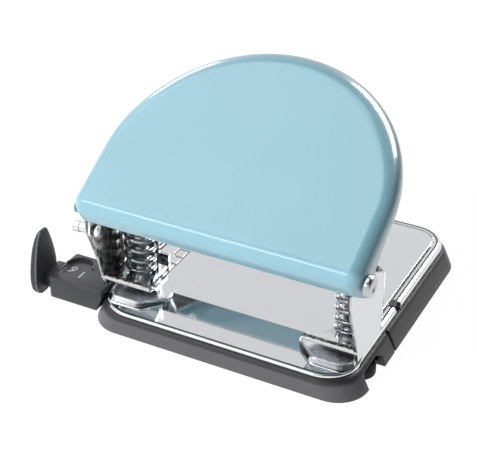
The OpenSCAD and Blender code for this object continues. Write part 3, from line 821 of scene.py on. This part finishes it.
def guide_housing_form():
    """The housing on the tray's left wall, with a shallow sunk window under a curved brow"""
    (x0, x1), (y0, y1) = HOUSE_X, HOUSE_Y
    made = piece("guide_house", *block((x0, y0, 2.0), (x1, y1, HOUSE_TOP), 0.9, 4), "tray", "black_plastic",
                 covers=["guide_housing"], skin="guide_black")
    corner = [(x0 - 3, y1 - 4.6), (x0 + 4.6, y1 + 3), (x0 - 3, y1 + 3)]
    tray_wall = [(-51.1, -1), (-51.1, 0.8), (-47.7, 7.8), (-47.7, 9), (-40, 9), (-40, -1)]
    carve(made, [
        prism(corner, "Z", 0, 12),
        prism(tray_wall, "Y", -60, -10),
        block((-47.3, -60, 0), (-40, -10, 20)),
        block((x0 - 1, RAIL_Y - 4.3, RAIL_Z - 0.2), (-40, RAIL_Y + 4.3, RAIL_Z + 1.5)),
        block((-68.6, RAIL_Y - 3.4, WINDOW_FLOOR), (-58.6, RAIL_Y + 3.6, 12), 0.5),
        rod(4.9, (WINDOW_X, RAIL_Y + 3.0, WINDOW_FLOOR), 12.0)])
    sharpen(made, 40)
    brow = []
    for i in range(25):
        t = math.pi * (1.0 - i / 24)
        brow.append(Vector((WINDOW_X + 5.3 * math.cos(t), RAIL_Y + 3.0 + 5.3 * math.sin(t), HOUSE_TOP)) * MM)
    piece("window_brow", *swept(brow, 0.5 * MM, 10), "tray", "black_plastic", skin="guide_black")


def flat_figure(text, size, at, turn):
    """A generic figure as thin raised print"""
    words = bpy.data.curves.new("figure", "FONT")
    words.body, words.size, words.extrude = text, size * MM, 0.05 * MM
    words.align_x = words.align_y = "CENTER"
    drawn = bpy.data.objects.new("figure", words)
    bpy.context.scene.collection.objects.link(drawn)
    bpy.context.view_layer.update()
    mesh = bpy.data.meshes.new_from_object(drawn.evaluated_get(bpy.context.evaluated_depsgraph_get()))
    mesh.transform(Matrix.Translation(Vector(at) * MM) @ Matrix.Rotation(math.radians(turn), 4, "Z"))
    shape = [v.co.copy() for v in mesh.vertices], [tuple(p.vertices) for p in mesh.polygons]
    bpy.data.objects.remove(drawn)
    bpy.data.curves.remove(words)
    bpy.data.meshes.remove(mesh)
    return shape


def guide_scale():
    """A generic figure and tick in the window, and small ticks along the rail"""
    printed = dict(smooth=False, skin="scale_print")
    figure = flat_figure("6", 5.6, (-65.2, RAIL_Y + 1.2, WINDOW_FLOOR + 0.04), 160)
    piece("window_figure", *figure, "tray", "black_plastic", **printed)
    tick = block((-60.9, RAIL_Y - 2.4, WINDOW_FLOOR), (-60.3, RAIL_Y + 1.6, WINDOW_FLOOR + 0.07))
    piece("window_tick", *tick, "tray", "black_plastic", **printed)
    for i in range(21):
        x, long = -66.0 + i * 5.0, 2.4 if i % 5 == 0 else 1.3
        tick = block((x, RAIL_Y + 3.8 - long, RAIL_Z + 1.2), (x + 0.3, RAIL_Y + 3.8, RAIL_Z + 1.25))
        piece("rail_tick_%02d" % (i + 1), *tick, "guide", "black_plastic", **printed)


def rounded_path(points, corner, steps=6):
    """A polyline with its corners turned into short curves"""
    path = [Vector(points[0])]
    for before, here, after in zip(points, points[1:], points[2:]):
        before, here, after = Vector(before), Vector(here), Vector(after)
        a = here + (before - here).normalized() * min(corner, (before - here).length * 0.48)
        b = here + (after - here).normalized() * min(corner, (after - here).length * 0.48)
        for i in range(steps + 1):
            t = i / steps
            path.append(a * (1 - t) ** 2 + here * 2 * t * (1 - t) + b * t * t)
    return path + [Vector(points[-1])]


def tongue_skirts():
    """Drawn flanks that let the two tongues of the base down to its apron"""
    px, py, ramp, rows = PUNCH_X, PUNCH_Y, -33.0, 13
    for side in (-1, 1):
        verts = []
        for row in range(rows):
            t = row / (rows - 1)
            inset = 0.35 - 2.75 * t        # of the straight edges
            slant = 0.41 * inset           # and of the slanting ones
            z = 11.02 - 2.06 * smoothstep(t)
            inner, outer, front = px - 14.7 + inset, px + 5.3 - inset * 0.55, py - 13.9 + inset
            path = rounded_path([(inner, ramp + 2), (inner, py - 6.8 + slant), (px - 7.1 + slant, front),
                                 (px + 2.5 - slant, front), (outer, py - 11.1 + slant), (outer, ramp + 1)], 1.8)
            verts += [Vector((side * p.x, p.y, z)) * MM for p in path]
        made = piece("tongue_flank_" + side_name(side), verts, grid_faces(rows, len(path)), "base", "chrome")
        if made.data.polygons[len(path) * 3].normal.z < 0:
            made.data.flip_normals()


def painted_shade_line(name, verts, faces, smooth=False):
    """A dark strip in a groove or seam of the base: painted shade"""
    piece(name, verts, faces, "base", "chrome", smooth=smooth, skin="blackened")


def ladder_groove_shade():
    """Dark strips of painted shade in the grooves of the small ladder behind the left tongue"""
    rails = [(x, x + 0.5, -28.0, -7.3) for x in (-37.6, -33.5)]
    rungs = [(-37.6, -33.0, -32.0 + j * 4.84, -31.5 + j * 4.84) for j in range(1, 6)]
    for i, (x0, x1, y0, y1) in enumerate(rails + rungs):
        painted_shade_line("ladder_line_%d" % (i + 1), *block((x0, y0, 10.55), (x1, y1, 10.97)))


def groove_lines():
    """Two dark strips of painted shade in the pressed groove along each side of the base"""
    for side in (-1, 1):
        for i, (x0, x1) in enumerate(((43.1, 43.42), (43.66, 43.98))):
            line = side_block(side, (x0, -29.6, 10.45), (x1, 36.5, 10.96))
            painted_shade_line("groove_line_%s_%d" % (side_name(side), i + 1), *line)


def base_plan(steps=24):
    """The base's outline, its long sides cut into short steps"""
    plan, fine = rounded_plan(47.0, -49.5, 49.4, 12.0, 16), []
    for a, b in zip(plan, plan[1:] + plan[:1]):
        cuts = steps if abs(a[1] - b[1]) > 20 else 1
        fine += [tuple(u + (v - u) * k / cuts for u, v in zip(a, b)) for k in range(cuts)]
    return fine


def rolled_edge_line():
    """The dark line beside the base's rolled edge: a painted dark reflection"""
    plan, verts = base_plan(), []
    for wide in (0.0, 0.65):
        for x, y, nx, ny in plan:
            up = smoothstep((y + 42.0) / 9.0)      # the edge rises from the apron to the sides
            inset = 0.72 + 0.75 * up + wide
            verts.append(Vector((x + nx * inset, y + ny * inset, 9.02 + 2.0 * up)) * MM)
    painted_shade_line("rolled_edge_line", verts, grid_faces(2, len(plan), closed_cols=True), smooth=True)


def skirt_seam_shadow():
    """Painted shadow: a dark strip in the gap between the base's skirt and the tray, behind the front corners"""
    plan = base_plan()
    rows = ((-0.02, 8.02), (-0.32, 8.02), (-0.32, 8.5), (-0.02, 8.6))      # inset, height
    verts = [Vector((x + nx * inset, y + ny * inset, z)) * MM for inset, z in rows for x, y, nx, ny in plan]
    behind_corner = [f for f in grid_faces(len(rows), len(plan), closed_cols=True) if verts[f[0]].y > -38 * MM]
    painted_shade_line("skirt_seam_shadow", verts, behind_corner, smooth=True)


def pivot_rivets():
    """Left rivet nearly flush, right one with a tall dished head"""
    y, z = PIVOT
    shank = [(0.01, 45.75), (2.0, 45.75), (2.2, 45.95), (2.2, 46.6), (1.3, 46.65), (1.3, 51.4)]
    flush = [(2.3, 51.42), (2.4, 51.5), (2.2, 51.6), (1.6, 51.68), (0.01, 51.7)]
    dished = [(3.5, 51.42), (3.6, 51.6), (3.6, 52.7), (3.4, 53.3), (3.0, 53.65), (2.5, 53.65), (2.1, 53.35),
              (1.5, 52.95), (0.8, 52.8), (0.01, 52.75)]
    for side, head in ((-1, flush), (1, dished)):
        outline = [(r * MM, side * x * MM) for r, x in shank + head]
        made = piece("pivot_pin_" + side_name(side), *turned(outline, Vector((0, y, z)) * MM, "X"), "base",
                     "chrome", covers=["pivot_rivet_" + side_name(side)], skin="turned_steel")
        sharpen(made, 50)


# ---------- stage ----------
def seen_or_mirrored(f):
    """Camera, glossy and transmission rays as three values"""
    rays = f.node("ShaderNodeLightPath").outputs
    return [Value(f, rays[name]) for name in ("Is Camera Ray", "Is Glossy Ray", "Is Transmission Ray")]


def stage_floor():
    """Pale floor: nearly white to the eye and in reflections, and it still takes the shadow"""
    half = sizes().floor_size / 2
    mesh = bpy.data.meshes.new("studio_floor")
    corners = [(-half, -half, 0), (half, -half, 0), (half, half, 0), (-half, half, 0)]
    mesh.from_pydata(corners, [], [(0, 1, 2, 3)])
    floor = bpy.data.objects.new("studio_floor", mesh)
    bpy.context.scene.collection.objects.link(floor)
    f = Finish("studio_floor")
    camera, glossy, through = seen_or_mirrored(f)
    grain = f.noise(0.05, 3.0)
    plain = f.node("ShaderNodeBsdfDiffuse", {}, {
        "Color": f.mix(grain, shade(colours().floor, 0.995), colours().floor)})
    lit = f.node("ShaderNodeEmission", {}, {"Color": (1, 1, 1), "Strength": 1.08})
    both = f.node("ShaderNodeMixShader", {}, {
        0: (camera + glossy + through) * 0.9, 1: plain.outputs[0], 2: lit.outputs[0]})
    f.node("ShaderNodeOutputMaterial", {}, {"Surface": both.outputs[0]})
    mesh.materials.append(f.material)


# name, place, target, size, power, shows in reflections, lights the surfaces
LAMPS = (
    ("key_lamp", (-0.50, -0.90, 0.66), (0, 0, 0.04), (0.62, 0.42), 13.5, False, True),
    ("line_lamp", (-0.52, -0.92, 0.68), (0, 0, 0.04), (0.70, 0.17), 2.0, True, True),
    ("rear_lamp", (0.26, 0.90, 0.76), (0, 0, 0.05), (0.74, 0.44), 12.0, True, False),
    ("top_lamp", (-0.46, -0.08, 1.08), (0, 0, 0.06), (0.95, 0.95), 5.0, True, False),
    ("side_lamp", (-0.80, 0.64, 0.50), (0, 0, 0.05), (0.28, 0.12), 1.4, True, False))


def softbox(name, at, target, size, power, shines, spreads):
    """A rectangular studio lamp turned to its target"""
    lamp = bpy.data.lights.new(name, "AREA")
    lamp.shape = "RECTANGLE"
    lamp.size, lamp.size_y = size
    lamp.energy = power
    made = bpy.data.objects.new(name, lamp)
    bpy.context.scene.collection.objects.link(made)
    made.location = at
    made.visible_glossy, made.visible_diffuse = shines, spreads
    made.rotation_euler = (Vector(target) - Vector(at)).to_track_quat("-Z", "Y").to_euler()


DARK_SIDE = (0.84, 0.10, 0.53)      # the way that the lever's right bend looks


def stage_world():
    """Pale air: white round the horizon, dimmer overhead and at the right, as in a room"""
    world = bpy.data.worlds.new("studio_air")
    bpy.context.scene.world = world
    world.use_nodes = True
    f = Finish("studio_air", world.node_tree)
    camera, glossy, through = seen_or_mirrored(f)
    way = f.node("ShaderNodeTexCoord").outputs["Generated"]
    height = Value(f, f.node("ShaderNodeSeparateXYZ", {}, {0: way}).outputs["Z"])
    beside = f.towards(way, DARK_SIDE)
    mirrored = 0.92 - height.span(0.25, 0.62) * 0.16 - height.span(0.62, 0.86) * 0.73
    mirrored = mirrored * (1.0 - beside.span(0.55, 0.86) * 0.9)
    shown = f.node("ShaderNodeMix", {"data_type": "FLOAT"}, {0: camera, 2: mirrored, 3: 1.0}).outputs[0]
    lit = 0.62 - beside.span(0.0, 0.8) * 0.58
    plain = f.node("ShaderNodeBackground", {}, {"Color": (0.95, 0.97, 1.0), "Strength": lit})
    bright = f.node("ShaderNodeBackground", {}, {"Color": (1, 1, 1), "Strength": shown})
    both = f.node("ShaderNodeMixShader", {}, {
        0: (camera + glossy + through) > 0.5, 1: plain.outputs[0], 2: bright.outputs[0]})
    f.node("ShaderNodeOutputWorld", {}, {"Surface": both.outputs[0]})


AZIMUTH, ELEVATION, ROLL = 27.648, 31.472, -0.11
CAMERA_AT, LENS = (0.15759, -0.33316, 0.25150), 92.36


def stage_camera():
    """A camera at the photograph's viewpoint"""
    azimuth, elevation, roll = (math.radians(a) for a in (AZIMUTH, ELEVATION, ROLL))
    back = Vector((math.sin(azimuth) * math.cos(elevation), -math.cos(azimuth) * math.cos(elevation),
                   math.sin(elevation)))
    level = Vector((math.cos(azimuth), math.sin(azimuth), 0.0))
    upright = back.cross(level)
    right = level * math.cos(roll) + upright * math.sin(roll)
    up = upright * math.cos(roll) - level * math.sin(roll)
    data = bpy.data.cameras.new("photo_view")
    data.lens = LENS
    data.clip_start, data.clip_end = 0.01, 20.0
    made = bpy.data.objects.new("photo_view", data)
    bpy.context.scene.collection.objects.link(made)
    made.matrix_world = Matrix.Translation(CAMERA_AT) @ Matrix((right, up, back)).transposed().to_4x4()
    bpy.context.scene.camera = made


# ---------- operators ----------
class PUNCH_OT_frame(bpy.types.Operator):
    """Give the carried-over nodes their finishes"""
    bl_idname = "punch.frame"
    bl_label = "Finish the frame"

    def execute(self, context):
        finish_frame()
        return {"FINISHED"}


class PUNCH_OT_lever(bpy.types.Operator):
    """Form the pressed lever"""
    bl_idname = "punch.lever"
    bl_label = "Lever"

    def execute(self, context):
        lever_skin()
        return {"FINISHED"}


class PUNCH_OT_tongues(bpy.types.Operator):
    """Form the flanks of the base's tongues and its dark lines of painted shade"""
    bl_idname = "punch.tongues"
    bl_label = "Base tongues and lines"

    def execute(self, context):
        tongue_skirts()
        ladder_groove_shade()
        groove_lines()
        rolled_edge_line()
        skirt_seam_shadow()
        return {"FINISHED"}


class PUNCH_OT_brackets(bpy.types.Operator):
    """Trim the two brackets"""
    bl_idname = "punch.brackets"
    bl_label = "Brackets"

    def execute(self, context):
        trimmed_brackets()
        return {"FINISHED"}


class PUNCH_OT_springs(bpy.types.Operator):
    """Wind the two springs"""
    bl_idname = "punch.springs"
    bl_label = "Springs"

    def execute(self, context):
        for side in (-1, 1):
            coil_spring(side)
        return {"FINISHED"}


class PUNCH_OT_tray(bpy.types.Operator):
    """Form the chip tray and its feet"""
    bl_idname = "punch.tray"
    bl_label = "Chip tray"

    def execute(self, context):
        tray_skin()
        feet_form()
        return {"FINISHED"}


class PUNCH_OT_guide(bpy.types.Operator):
    """Form the paper guide's blade, housing and scale"""
    bl_idname = "punch.guide"
    bl_label = "Paper guide"

    def execute(self, context):
        guide_fin_form()
        guide_housing_form()
        guide_scale()
        return {"FINISHED"}


class PUNCH_OT_pivots(bpy.types.Operator):
    """Form the two pivot rivets"""
    bl_idname = "punch.pivots"
    bl_label = "Pivot rivets"

    def execute(self, context):
        pivot_rivets()
        return {"FINISHED"}


class PUNCH_OT_stage(bpy.types.Operator):
    """Set the floor, lamps, world and camera"""
    bl_idname = "punch.stage"
    bl_label = "Stage"

    def execute(self, context):
        context.scene.view_settings.view_transform = "Standard"
        stage_floor()
        stage_world()
        for lamp in LAMPS:
            softbox(*lamp)
        stage_camera()
        return {"FINISHED"}


OPERATORS = (PUNCH_OT_stage, PUNCH_OT_frame, PUNCH_OT_tray, PUNCH_OT_guide, PUNCH_OT_tongues,
             PUNCH_OT_brackets, PUNCH_OT_lever, PUNCH_OT_springs, PUNCH_OT_pivots)


class PUNCH_PT_panel(bpy.types.Panel):
    """Lists the pieces of the punch"""
    bl_idname = "PUNCH_PT_panel"
    bl_label = "Desk hole punch"
    bl_space_type = "VIEW_3D"
    bl_region_type = "UI"
    bl_category = "Punch"

    def draw(self, context):
        layout = self.layout
        for group in (context.scene.punch_sizes, context.scene.punch_colours):
            for key in group.__annotations__:
                layout.prop(group, key)
        for kind in OPERATORS:
            layout.operator(kind.bl_idname)


CLASSES = (PunchSizes, PunchColours) + OPERATORS + (PUNCH_PT_panel,)


def register():
    """Makes the classes and the two groups known to Blender"""
    for kind in CLASSES:
        bpy.utils.register_class(kind)
    bpy.types.Scene.punch_sizes = bpy.props.PointerProperty(type=PunchSizes)
    bpy.types.Scene.punch_colours = bpy.props.PointerProperty(type=PunchColours)


def unregister():
    """Takes them back"""
    del bpy.types.Scene.punch_colours
    del bpy.types.Scene.punch_sizes
    for kind in reversed(CLASSES):
        bpy.utils.unregister_class(kind)


def main():
    """Builds the punch piece by piece"""
    register()
    for kind in OPERATORS:
        group, call = kind.bl_idname.split(".")
        getattr(getattr(bpy.ops, group), call)()
    bpy.context.view_layer.update()


if __name__ == "__main__":
    main()
